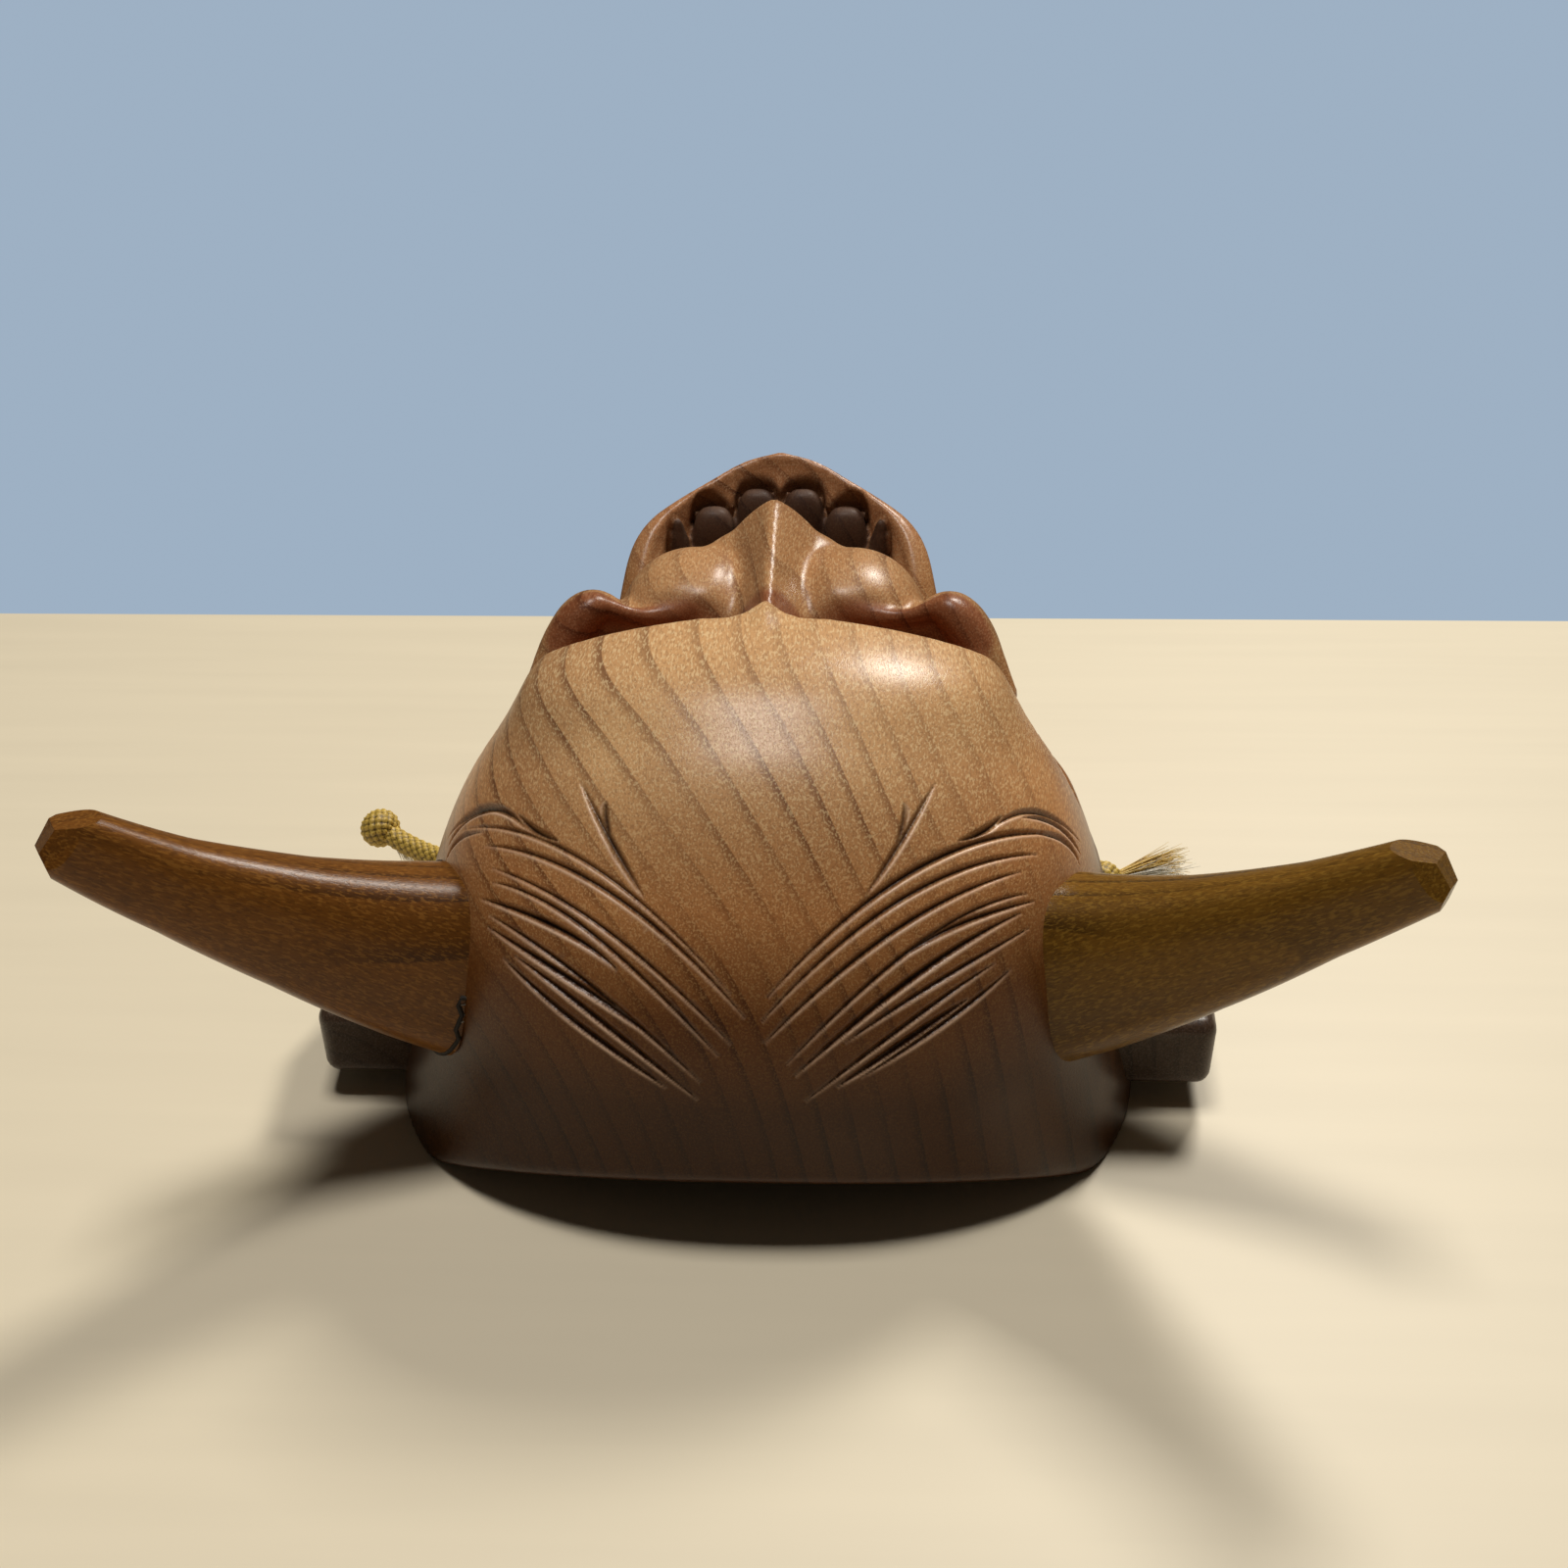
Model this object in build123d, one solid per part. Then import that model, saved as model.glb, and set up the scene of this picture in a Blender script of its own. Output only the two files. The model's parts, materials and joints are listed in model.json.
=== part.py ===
"""Horned noh mask: a carved wooden shell with two glued-on horns, two ears and a hanging cord.

Frame, in millimetres: the mask lies on its back, face up. The origin is the centre of the
rest plane, X is across the face, -Y is towards the crown, +Y towards the chin, +Z out of the face.
"""
from build123d import *
import os

# ---- driving dimensions -------------------------------------------------------------------
HALF_WIDTH = 84.0          # forehead, across
FOREHEAD_Y = -33.0         # widest place of the forehead
FOREHEAD_LENGTH = 74.0     # from there to the crown wall
BROW_HEIGHT = 99.5         # brow crest over the rest plane
BROW_CREST_Y = -40.0       # the forehead ends in an overhanging crest that starts here
BROW_CUT_BOTTOM = 58.0
BROW_LEAN = 14.0           # degrees that the crest leans towards the chin
WALL = 11.0                # carved wall thickness

# The rounded masses of the carving: centre and radii. Those off the middle are on both sides.
FACE = ((0, 6, 0), (78, 96, 76))
MIDDLE_FACE = ((0, 12, 20), (62, 64, 71))     # the nose, cheeks and eyes stand on it
JAW = ((0, 60, 12), (50, 46, 84))
CHIN = ((0, 84, 62), (26, 20, 34))
BROW_PEAK = ((0, -35, 90), (11, 10, 11))
CHEEKBONE = ((43, -3, 66), (15.5, 20, 30))
CHEEK = ((27, 22, 76), (19, 24, 22))
NOSE_BRIDGE = ((0, -6, 78), (9, 28, 23))
NOSE_TIP = ((0, 19, 90), (12, 16, 19))
NOSE_WING = ((12, 23, 88), (8, 11, 11))
EYEBALL = ((28, -14, 76), (13, 11, 11))
EYE_SOCKET = ((30, -16, 94), (20, 12, 12))
MOUTH = ((0, 50, 90), (30, 16, 60))

LIP_RADIUS = 6.5
LIP_SIDE = ((40, 30, 62), (37, 45, 76), (27, 60, 92))   # from the cheek to the middle
LIP_MIDDLE = (0, 73, 102)
TOOTH_LENGTH = 22.0
LOWER_TEETH = ((5.2, 64.7), (15.6, 62.1))     # x, y of each tooth on one side
LOWER_TOOTH_TOP, LOWER_TOOTH_RADIUS = 90.0, 5.7
LOWER_FANG, LOWER_FANG_TOP, LOWER_FANG_RADIUS = (26, 55.5), 94.0, 4.2
UPPER_TEETH = ((4.4, 36), (13.2, 36))
UPPER_TOOTH_TOP, UPPER_TOOTH_RADIUS = 84.0, 4.8
UPPER_FANG, UPPER_FANG_TOP, UPPER_FANG_RADIUS = (21.5, 38.5), 88.0, 4.6

PUPIL = (28, -14)          # through the eyeball, into the hollow
PUPIL_RADIUS = 3.2
NOSTRIL_TOP = (9, 27, 98)
NOSTRIL_LEAN = 25.0
NOSTRIL_LENGTH = 30.0
NOSTRIL_RADIUS = 2.6
CROWN_RIM_HEIGHT = 16.5    # the crown rim is cut up at an angle, so the mask rests on its sides
CROWN_CUT_START_Y = -85.0
CROWN_WALL_Y = FOREHEAD_Y - FOREHEAD_LENGTH

HORN_ROOT = Vector(51, -63, 36)
HORN_BEND = Vector(90, -83, 54.5)
HORN_TIP = Vector(119.5, -100, 86)
HORN_UP = Vector(-0.40, 0.40, 0.83)      # the taller axis of the horn's section leans this way
HORN_HALF_HEIGHTS = (21.5, 17.2, 12.5, 8.7, 6.2)
HORN_DEPTH_RATIO = 0.82
HORN_CORNER_RATIO = 0.42
HORN_DOWEL_RADIUS = 6.0
HORN_DOWEL_START = 3.0     # along the horn from its root
HORN_DOWEL_LENGTH = 30.0

EAR_SECTIONS = (           # along the ear: y, outer edge x, lower face z, upper face z
    (-64, 97, 6.0, 22.5),
    (-36, 101, 6.0, 22.5),
    (-14, 95, 7.0, 21.5),
    (2, 84, 9.0, 19.0),
)
EAR_ROOT_X = 60.0
EAR_CORNER = 3.5
EAR_BOWL = ((88, -36, 26), (7, 20, 8))
EAR_DOWEL_Y = (-48.0, -18.0)
EAR_DOWEL_X = 82.0
EAR_DOWEL_Z = 14.0
EAR_DOWEL_LENGTH = 18.0
EAR_DOWEL_RADIUS = 3.0

CORD_RADIUS = 3.0
CORD_HOLE_RADIUS = 3.4
CORD_HOLE_Y = 12.0
CORD_HOLE_Z = 14.0
CORD_INNER_X = 62.0        # the free cord starts here inside the wall
CORD_OUTER_X = 79.8        # and here outside
CORD_GAP = 0.3             # between the cord that is held in the wall and the free cord
KNOT_RADIUS = 5.5
CORE_RADIUS = 1.9
TUFT_ROOT_RADIUS = 1.2
TUFT_TIP_RADIUS = 4.5
CORD_ENDS = {              # knot centre, core direction and length, tuft direction and length
    "left": (Vector(-110.3, 29.3, 15.1), Vector(0.80, -0.45, -0.42), 14.0, Vector(0.80, -0.40, -0.14), 20.0),
    "right": (Vector(86.8, 15, 9.2), Vector(0.97, 0.24, 0.02), 24.0, Vector(0.91, 0.36, 0.20), 26.0),
}
LOOP_SLACK = 26.0          # how far the hanging cord bows from the straight line
LOOP_DROP = 6.0
BIG = 400.0                # size of cutting blocks, larger than the mask


def ellipsoid(centre, radii):
    return Pos(*centre) * scale(Sphere(1), by=radii)


def shrunk(mass, by):
    centre, radii = mass
    return ellipsoid(centre, tuple(r - by for r in radii))


def both_sides(shape):
    """The shape and its mirror image across the middle of the face."""
    return [shape, mirror(shape, about=Plane.YZ)]


def half_space(origin, normal):
    """Everything on the side of a plane that its normal points to."""
    return Plane(origin=origin, z_dir=normal) * Box(
        BIG, BIG, BIG, align=(Align.CENTER, Align.CENTER, Align.MIN)
    )


# ---- mask shell ---------------------------------------------------------------------------
def forehead(shrink=0.0):
    dome = ellipsoid(
        (0, FOREHEAD_Y, 0),
        (HALF_WIDTH - shrink, FOREHEAD_LENGTH - shrink, BROW_HEIGHT - shrink),
    )
    beyond_brow = Pos(0, BROW_CREST_Y - shrink, BROW_CUT_BOTTOM) * Rot(X=-BROW_LEAN) * Box(
        BIG, BIG, BIG, align=(Align.CENTER, Align.MIN, Align.MIN)
    )
    return dome - beyond_brow


def face_masses(shrink=0.0):
    return shrunk(FACE, shrink) + shrunk(MIDDLE_FACE, shrink) + shrunk(JAW, shrink)


def nose():
    wings = both_sides(ellipsoid(*NOSE_WING))
    return ellipsoid(*NOSE_BRIDGE) + ellipsoid(*NOSE_TIP) + wings


def lower_lip():
    """The lower lip is one round bar that runs in a pointed arch from cheek to cheek."""
    other_side = [(-x, y, z) for x, y, z in reversed(LIP_SIDE)]
    arch = Spline(*LIP_SIDE, LIP_MIDDLE, *other_side)
    return sweep(Plane(origin=arch @ 0, z_dir=arch % 0) * Circle(LIP_RADIUS), path=arch)


def tooth(x, y, top, radius):
    """An upright peg with a round top."""
    peg = Pos(x, y, top - TOOTH_LENGTH) * Cylinder(
        radius, TOOTH_LENGTH, align=(Align.CENTER, Align.CENTER, Align.MIN)
    )
    return peg + Pos(x, y, top) * Sphere(radius)


def row_of_teeth(places, top, radius):
    """Neighbours overlap a little, so a row is one body."""
    return [tooth(side * x, y, top, radius) for x, y in places for side in (-1, 1)]


def teeth():
    """Two rows of four small teeth, each between two fangs."""
    return (
        row_of_teeth(LOWER_TEETH, LOWER_TOOTH_TOP, LOWER_TOOTH_RADIUS)
        + row_of_teeth([LOWER_FANG], LOWER_FANG_TOP, LOWER_FANG_RADIUS)
        + row_of_teeth(UPPER_TEETH, UPPER_TOOTH_TOP, UPPER_TOOTH_RADIUS)
        + row_of_teeth([UPPER_FANG], UPPER_FANG_TOP, UPPER_FANG_RADIUS)
    )


def mask_outside():
    """The carved outside before the eyes, mouth and hollow are cut."""
    body = forehead() + face_masses()
    body += ellipsoid(*BROW_PEAK)
    body += both_sides(ellipsoid(*CHEEKBONE))
    body += nose()
    body += both_sides(ellipsoid(*CHEEK))
    body += lower_lip()
    body += ellipsoid(*CHIN)
    return body


def hollow():
    """The inside of the shell, open at the rest plane."""
    return forehead(WALL) + face_masses(WALL)


def mask_shell(outside):
    shell = outside - ellipsoid(*MOUTH)
    shell -= both_sides(ellipsoid(*EYE_SOCKET))
    shell += both_sides(ellipsoid(*EYEBALL))
    shell -= hollow()
    shell += teeth()
    pupil = Pos(*PUPIL, EYEBALL[0][2]) * Cylinder(PUPIL_RADIUS, BIG / 6)
    nostril = Pos(*NOSTRIL_TOP) * Rot(X=-NOSTRIL_LEAN) * Cylinder(NOSTRIL_RADIUS, NOSTRIL_LENGTH)
    shell -= both_sides(pupil)
    shell -= both_sides(nostril)
    shell -= half_space((0, 0, 0), (0, 0, -1))
    shell -= half_space(
        (0, CROWN_CUT_START_Y, 0),
        (0, -CROWN_RIM_HEIGHT, CROWN_WALL_Y - CROWN_CUT_START_Y),
    )
    drill = Rot(Y=90) * Cylinder(CORD_HOLE_RADIUS, HALF_WIDTH)
    cord_hole = Pos(HALF_WIDTH, CORD_HOLE_Y, CORD_HOLE_Z) * drill
    shell -= both_sides(cord_hole)
    return shell


# ---- horns --------------------------------------------------------------------------------
def horn_spine():
    return Bezier(HORN_ROOT, HORN_BEND, HORN_TIP)


def horn_section(spine, at, half_height):
    """A rounded rectangle across the spine, with its height leaning along HORN_UP."""
    along = spine % at
    across = HORN_UP.cross(along)
    plane = Plane(origin=spine @ at, x_dir=across, z_dir=along)
    return plane * RectangleRounded(
        2 * half_height * HORN_DEPTH_RATIO,
        2 * half_height,
        half_height * HORN_CORNER_RATIO,
    )


def horn(outside):
    """A tapering bent horn with knife-cut facets at its blunt tip, seated on the temple."""
    spine = horn_spine()
    steps = len(HORN_HALF_HEIGHTS) - 1
    sections = [horn_section(spine, i / steps, h) for i, h in enumerate(HORN_HALF_HEIGHTS)]
    body = loft(sections)
    tip = spine @ 1
    along = spine % 1
    across = HORN_UP.cross(along).normalized()
    up = along.cross(across)
    facets = (             # direction that each knife cut leans to, and its distance from the tip
        (up * 1.1, 1.2),
        (across * 1.3 - up * 0.5, 2.4),
        (across * -1.3, 2.2),
        (up * -1.3, 2.6),
    )
    for lean, inset in facets:
        normal = (along + lean).normalized()
        body -= half_space(tip + normal * inset, normal)
    return body - outside


def horn_dowel():
    """A peg along the horn's root, half in the horn and half in the temple."""
    spine = horn_spine()
    along = spine % 0
    return Plane(origin=HORN_ROOT + along * HORN_DOWEL_START, z_dir=along) * Cylinder(
        HORN_DOWEL_RADIUS, HORN_DOWEL_LENGTH, align=(Align.CENTER, Align.CENTER, Align.MIN)
    )


# ---- ears ---------------------------------------------------------------------------------
def ear_section(y, outer_x, low_z, high_z):
    width = outer_x - EAR_ROOT_X
    height = high_z - low_z
    plane = Plane(
        origin=(EAR_ROOT_X + width / 2, y, low_z + height / 2),
        x_dir=(1, 0, 0),
        z_dir=(0, 1, 0),
    )
    return plane * RectangleRounded(width, height, EAR_CORNER)


def ear(outside):
    """A thick leaf with a square near end and a carved bowl, glued to the side wall."""
    block = loft([ear_section(*section) for section in EAR_SECTIONS])
    return block - ellipsoid(*EAR_BOWL) - outside


def ear_dowels():
    """Two thin pegs across the joint between ear and wall."""
    peg = Rot(Y=90) * Cylinder(EAR_DOWEL_RADIUS, EAR_DOWEL_LENGTH)
    return [Pos(EAR_DOWEL_X, y, EAR_DOWEL_Z) * peg for y in EAR_DOWEL_Y]


# ---- cord ---------------------------------------------------------------------------------
def rod(start, end, radius):
    along = end - start
    return Plane(origin=start, z_dir=along) * Cylinder(
        radius, along.length, align=(Align.CENTER, Align.CENTER, Align.MIN)
    )


def cord_through(side):
    """The cord that is held in the wall's hole."""
    return rod(
        Vector(side * (CORD_INNER_X + CORD_RADIUS + CORD_GAP), CORD_HOLE_Y, CORD_HOLE_Z),
        Vector(side * (CORD_OUTER_X - CORD_RADIUS - CORD_GAP), CORD_HOLE_Y, CORD_HOLE_Z),
        CORD_RADIUS,
    )


def cord_end(name, side):
    """The free end outside the wall: short cord, stopper knot, cotton core and frayed strands."""
    centre, core_direction, core_length, tuft_direction, tuft_length = CORD_ENDS[name]
    start = Vector(side * CORD_OUTER_X, CORD_HOLE_Y, CORD_HOLE_Z)
    knot = Pos(*centre) * Sphere(KNOT_RADIUS)
    drop = (Pos(*start) * Sphere(CORD_RADIUS)) + rod(start, centre, CORD_RADIUS) - knot
    core = rod(centre, centre + core_direction.normalized() * core_length, CORE_RADIUS) - knot - drop
    tuft = Plane(origin=centre, z_dir=tuft_direction) * Cone(
        TUFT_ROOT_RADIUS, TUFT_TIP_RADIUS, tuft_length, align=(Align.CENTER, Align.CENTER, Align.MIN)
    )
    return {
        f"cord_drop_{name}": drop,
        f"stopper_knot_{name}": knot,
        f"cord_core_{name}": core,
        f"frayed_tuft_{name}": tuft - knot - core - drop,
    }


def hanging_cord():
    """The slack cord across the hollow back, from inner hole to inner hole."""
    end = Vector(CORD_INNER_X, CORD_HOLE_Y, CORD_HOLE_Z)
    middle = Vector(0, CORD_HOLE_Y - LOOP_SLACK, CORD_HOLE_Z - LOOP_DROP)
    path = Spline(end, middle, Vector(-end.X, end.Y, end.Z))
    bar = sweep(Plane(origin=path @ 0, z_dir=path % 0) * Circle(CORD_RADIUS), path=path)
    return bar + [Pos(*(path @ at)) * Sphere(CORD_RADIUS) for at in (0, 1)]


# ---- assembly -----------------------------------------------------------------------------
def assembly():
    outside = mask_outside()
    shell = mask_shell(outside)
    horn_right = horn(outside)
    dowel_right = horn_dowel()
    ear_right = ear(outside)
    ear_dowels_right = Compound(ear_dowels())
    shell -= both_sides(dowel_right)
    shell -= both_sides(ear_dowels_right)
    horn_right -= dowel_right
    ear_right -= ear_dowels_right
    right = {
        "horn": horn_right,
        "horn_dowel": dowel_right,
        "ear": ear_right,
        "ear_dowels": ear_dowels_right,
    }
    nodes = {"mask_shell": shell}
    for name, shape in right.items():
        nodes[f"{name}_right"] = shape
        nodes[f"{name}_left"] = mirror(shape, about=Plane.YZ)
    for name, side in (("left", -1), ("right", 1)):
        nodes[f"cord_through_{name}"] = cord_through(side)
        nodes.update(cord_end(name, side))
    nodes["hanging_cord"] = hanging_cord()
    return nodes


os.makedirs("parts", exist_ok=True)
for node, shape in assembly().items():
    export_step(shape, f"parts/{node}.step")
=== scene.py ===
import functools
import json
import math
import random

import bmesh
import bpy
import numpy as np
import openvdb
from mathutils import Matrix, Vector


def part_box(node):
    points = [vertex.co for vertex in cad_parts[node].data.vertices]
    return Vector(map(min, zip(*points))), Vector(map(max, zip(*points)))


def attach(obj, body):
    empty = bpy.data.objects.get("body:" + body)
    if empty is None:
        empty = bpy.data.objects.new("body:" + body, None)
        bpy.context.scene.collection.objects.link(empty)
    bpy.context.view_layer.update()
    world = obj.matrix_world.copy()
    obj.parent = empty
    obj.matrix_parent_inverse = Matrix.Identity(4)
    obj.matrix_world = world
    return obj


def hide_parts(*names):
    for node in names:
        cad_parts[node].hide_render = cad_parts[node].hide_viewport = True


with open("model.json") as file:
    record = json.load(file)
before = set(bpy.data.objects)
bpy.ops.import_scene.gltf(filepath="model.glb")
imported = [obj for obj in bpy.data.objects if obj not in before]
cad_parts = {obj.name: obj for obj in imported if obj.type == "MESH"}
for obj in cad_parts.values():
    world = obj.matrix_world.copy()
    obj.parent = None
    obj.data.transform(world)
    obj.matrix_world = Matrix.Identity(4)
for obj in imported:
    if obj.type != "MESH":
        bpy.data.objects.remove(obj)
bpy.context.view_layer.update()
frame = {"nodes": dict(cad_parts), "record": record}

# The shapes below are worked out in millimetres and turned into metres when a mesh is made.
# +X runs across the face, +Y from crown to chin and +Z out of the face; the table is at z = 0.
MM = 0.001
RIGHT, LEFT = 1, -1
SIDES = {"left": LEFT, "right": RIGHT}


def joint_place(name):
    """Where a joint of the record sits, in millimetres."""
    joint = next(j for j in frame["record"]["behaviour"]["joints"] if j["name"] == name)
    return [c / MM for c in joint["pos_m"]]


def node_centre(node):
    low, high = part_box(node)
    return (low + high) / (2 * MM)


WALL = 11.0
CORD_RADIUS = 3.0
CORD_HOLE_RADIUS = 3.4
CORD_OUTER_X, CORD_HOLE_Y, CORD_HOLE_Z = joint_place("cord_end_right_swing")
CORD_INNER_X = 62.0
KNOT_CENTRES = {name: node_centre(f"stopper_knot_{name}") for name in SIDES}

# Voxel sizes of the two shapes that are made from distance fields, and how they are sampled.
SHELL_VOXEL = 1.3
EAR_VOXEL = 1.0
NEAR_MARGIN = 12.0          # beyond this distance a lower bound of a field is enough
LINE_STEPS = 5              # steps between two given points of a smooth line

# Rounded masses of the face: centre, radii and squareness (2 is an ellipsoid, more is boxier).
FOREHEAD_CENTRE = (0, -33, 0)
FOREHEAD_RADII = (79.5, 74.5, 100.5)
FOREHEAD_SQUARENESS = 2.35
FOREHEAD_FOOT = ((0, -33, -8), (84, 74, 50), 2.6)
BROW_BOSSES = ((0, -30, 83), (49, 30, 15), 2.7)
BROW_Y = -31.0
BROW_CUT_BOTTOM = 60.0
FACE = ((0, 6, 0), (78, 92, 74), 2.4)
JAW = ((0, 60, 10), (48, 44, 78), 2.3)
CHEEKBONE = ((41, -5, 66), (15, 20, 31))
CHEEK = ((18.5, 12, 76), (20, 25, 24.5), 2.2)
NOSE_BLOCK = ((0, 0, 86), (19, 31, 33), 3.0)
NOSE_WING = ((11.5, 25, 89), (7, 9, 11))
EYE_SOCKET = ((26, -18, 99), (27, 14, 19), 2.3)
EYEBALL = ((28, -15, 74), (13, 9, 12))
CHIN_POINT = ((0, 84, 64), (24, 19, 32))
CHIN_BASE = ((0, 70, 40), (40, 30, 40))
MOUTH = ((0, 49, 90), (30, 15.5, 60), 2.2)
THROAT = ((0, 49, 60), (32, 18, 36))
TONGUE_SPACE = ((0, 50, 30), (34, 30, 36))
HOLLOW_FACE = ((0, 6, 0), (67, 81, 62), 2.4)
HOLLOW_JAW = ((0, 60, 10), (35, 32, 60))
TOOTH_POCKETS = (
    ((6.2, 64.5, 92), (6.3, 5.8, 17), 2.5),
    ((17.6, 60.0, 88), (6.6, 6.4, 16), 2.5),
    ((26.5, 54, 86), (3.4, 4.5, 12)),
)
BLUNT_TEETH = (
    ((6.2, 65.0, 80), (6.2, 5.2, 20.5), 3.2),
    ((17.7, 60.6, 77), (6.4, 5.6, 20), 3.2),
    ((4.9, 36, 76), (4.8, 4.2, 13), 2.6),
    ((14, 37, 75), (4.6, 4.2, 12), 2.6),
)

# Smooth ridges and tubes of the right half: points x, y, z with the radius there.
BROW_PEAK = ((0, -50, 95, 2), (0, -41, 98.8, 2), (0, -33, 101.6, 2), (0, -24, 101.2, 1.6))
FRONT_LOCK = ((77, -28, 14, 5), (73, -14, 34, 5), (63, -3, 49, 4.5), (55, 3, 56, 3))
BACK_LOCK = ((78, -8, 12, 4), (74, 4, 30, 4.5), (66, 12, 43, 3))
SMILE_FOLD = ((16, 27, 88, 4), (28, 33, 82, 4.5), (37, 42, 71, 4.5), (41, 56, 56, 3.5))
LOWER_LID = (
    (12.5, 15, 97, 1.4), (13, 7, 96.5, 1.6), (15, 0, 94.5, 1.6), (20, -4, 92.2, 1.5), (26, -5, 91.5, 1.5),
    (32, -6, 92.3, 1.6), (37, -7, 94, 2.2), (41, -8, 93.5, 3.8), (46.5, -11, 87.5, 4.2), (52, -15, 77, 4),
)
UPPER_LID = ((14, -18, 79, 2), (22, -22, 84, 2.2), (32, -22, 84, 2.2), (42, -18, 76, 2))
LOWER_LIP = (
    (0, 71.5, 103.5, 5.2), (8, 70.5, 101.5, 5.2), (16, 66.5, 98, 5.2), (24, 61.5, 94.5, 5.2),
    (30.5, 56.5, 91, 5.2), (34, 51, 87, 5), (35.5, 44, 80.5, 4.8), (36.5, 38, 72, 4.5),
)
UPPER_LIP = ((0, 33, 88, 4.5), (12, 33, 87, 4.5), (22, 35.5, 83, 4.2), (31, 40, 77, 4), (37, 43, 71, 4))
LOW_FANG = ((25.5, 57.5, 70, 5), (26, 57, 82, 4), (27, 56, 94, 1.2))
HIGH_FANG = ((22.5, 40, 68, 4.6), (23, 42, 78, 3.4), (23.5, 43.5, 87, 1.0))
NOSTRIL = ((5.5, 27, 80, 2.6), (6.5, 31, 104, 2.6))
PUPIL = (28, -15)
PUPIL_RADIUS = 3.2
CROWN_RIM_Y = -85           # where the cut that lifts the crown rim leaves the table
CROWN_RIM_RISE, CROWN_RIM_RUN = 16.5, 22.0


# ---- distance fields: every function takes points (..., 3) and gives a distance in mm ----------
def length(q):
    return np.sqrt((q * q).sum(-1))


def ellipsoid(p, centre, radii, squareness=2.0):
    """Rounded mass; squareness above 2 makes it boxier."""
    radii = np.array(radii, np.float32)
    q = np.abs(p - np.array(centre, np.float32)) / radii
    if squareness == 2.0:
        scale = length(q)
        return scale * (scale - 1) / (length(q / radii) + 1e-6)
    scale = (q ** squareness).sum(-1) ** (1 / squareness)
    slope = q ** (squareness - 1) / radii / np.maximum(scale, 1e-4)[..., None] ** (squareness - 1)
    return (scale - 1) / np.maximum(length(slope), 1e-5)


def join(a, b, softness):
    h = np.clip(0.5 + 0.5 * (b - a) / softness, 0, 1)
    return b + (a - b) * h - softness * h * (1 - h)


def cut(a, tool, softness):
    return -join(-a, tool, softness)


def nearest_of(fields):
    return functools.reduce(np.minimum, fields)


def smooth_line(points, per_span):
    """A smooth line through points (each may carry a radius as its last number)."""
    points = [np.array(v, np.float32) for v in points]
    ends = [2 * points[0] - points[1], *points, 2 * points[-1] - points[-2]]
    line = []
    for a, b, c, d in zip(ends, ends[1:], ends[2:], ends[3:]):
        for k in range(per_span):
            t = k / per_span
            line.append(b + (c - a) * t / 2 + (a - 2.5 * b + 2 * c - d / 2) * t * t
                        + (1.5 * b - a / 2 - 1.5 * c + d / 2) * t ** 3)
    return line + [points[-1]]


def tube(p, line):
    """A round tube along points (x, y, z, radius)."""
    whole = None
    for a, b in zip(line, line[1:]):
        d = (b - a)[:3]
        t = np.clip(((p - a[:3]) @ d) / (d @ d), 0, 1)
        part = length(p - a[:3] - t[..., None] * d) - (a[3] + (b[3] - a[3]) * t)
        whole = part if whole is None else np.minimum(whole, part)
    return whole


def near_only(p, field, low, high):
    """Work a field out only inside a box; elsewhere a lower bound is enough."""
    low, high = np.array(low, np.float32), np.array(high, np.float32)
    outside = np.maximum(np.maximum(low - p, p - high), 0)
    far = length(outside) + NEAR_MARGIN
    inside = far <= NEAR_MARGIN
    values = far.astype(np.float32)
    if inside.any():
        values[inside] = field(p[inside])
    return values


def chain(p, points, per_span=LINE_STEPS):
    """A smooth tube through points (x, y, z, radius)."""
    line = smooth_line(points, per_span)
    centres = np.array([v[:3] for v in line])
    reach = max(float(v[3]) for v in line) + NEAR_MARGIN
    return near_only(p, lambda q: tube(q, line), centres.min(0) - reach, centres.max(0) + reach)


def folded(p):
    """The same point on the right half: the carving is symmetric."""
    q = p.astype(np.float32).copy()
    q[..., 0] = np.abs(q[..., 0])
    return q


# ---- the carved shell ----------------------------------------------------------------------------
def past_brow(q):
    """Distance beyond the slanting brow face, which reaches out in the middle and at the sides."""
    x, y, z = q[..., 0], q[..., 1], q[..., 2]
    reach = 7 * np.exp(-((x / 3.0) ** 2)) - 2.5 * np.exp(-(((x - 9) / 5) ** 2))
    reach = reach + 5 * np.clip((x - 12) / 40, 0, 1)
    return (y - BROW_Y - reach) * 0.97 - (z - 96) * 0.25


def forehead(q):
    """A smooth dome that ends in a sharp edge with a small peak over the nose."""
    dome = ellipsoid(q, FOREHEAD_CENTRE, FOREHEAD_RADII, FOREHEAD_SQUARENESS)
    dome = join(dome, ellipsoid(q, *FOREHEAD_FOOT), 6)
    dome = join(dome, ellipsoid(q, *BROW_BOSSES), 12)
    dome = join(dome, chain(q, BROW_PEAK), 2.5)
    return cut(dome, np.maximum(-past_brow(q), BROW_CUT_BOTTOM - q[..., 2]), 1.4)


def face_mass(q):
    face = join(ellipsoid(q, *FACE), ellipsoid(q, *JAW), 18)
    return join(face, ellipsoid(q, *CHEEKBONE), 9)


def temple_locks(q):
    """Raised locks of hair in front of the ears."""
    return np.minimum(chain(q, FRONT_LOCK), chain(q, BACK_LOCK))


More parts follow.
